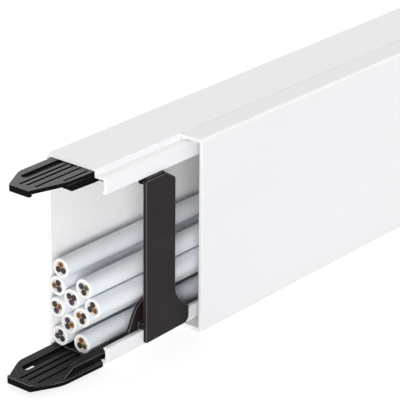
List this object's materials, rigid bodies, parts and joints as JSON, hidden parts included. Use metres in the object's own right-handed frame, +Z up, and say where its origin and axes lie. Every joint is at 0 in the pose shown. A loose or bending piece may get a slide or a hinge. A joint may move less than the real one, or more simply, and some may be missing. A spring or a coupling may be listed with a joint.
{
  "type": "wall cable trunking",
  "caption": "White wall cable trunking with a clip-on cover, black couplings at one end, a black cable retainer across its mouth and grey cables lying inside.",
  "frame": {"origin": "on the floor under the middle of the whole part, couplings included", "axes": "+X along the trunking from its open near end, -Y out of its mouth towards the cover, +Z up"},
  "size_m": [2.0374, 0.04, 0.09],
  "materials": {
    "trunking_base": "satin",
    "trunking_cover": "satin",
    "coupling": "satin",
    "cable_retainer": "satin",
    "cable_sheath": "matte",
    "brown_cores": "satin",
    "black_cores": "satin",
    "blue_cores": "satin",
    "green_yellow_cores": "satin"
  },
  "bodies": {
    "root": {"trunking_base": "trunking_base", "trunking_cover": "trunking_cover", "lower_coupling": "coupling", "upper_coupling": "coupling", "cable_retainer": "cable_retainer", "cable_sheath_01": "cable_sheath", "cable_sheath_02": "cable_sheath", "cable_sheath_03": "cable_sheath", "cable_sheath_04": "cable_sheath", "cable_sheath_05": "cable_sheath", "cable_sheath_06": "cable_sheath", "cable_sheath_07": "cable_sheath", "cable_sheath_08": "cable_sheath", "cable_sheath_09": "cable_sheath", "cable_sheath_10": "cable_sheath", "brown_cores": "brown_cores", "black_cores": "black_cores", "blue_cores": "blue_cores", "green_yellow_cores": "green_yellow_cores"}
  },
  "joints": []
}
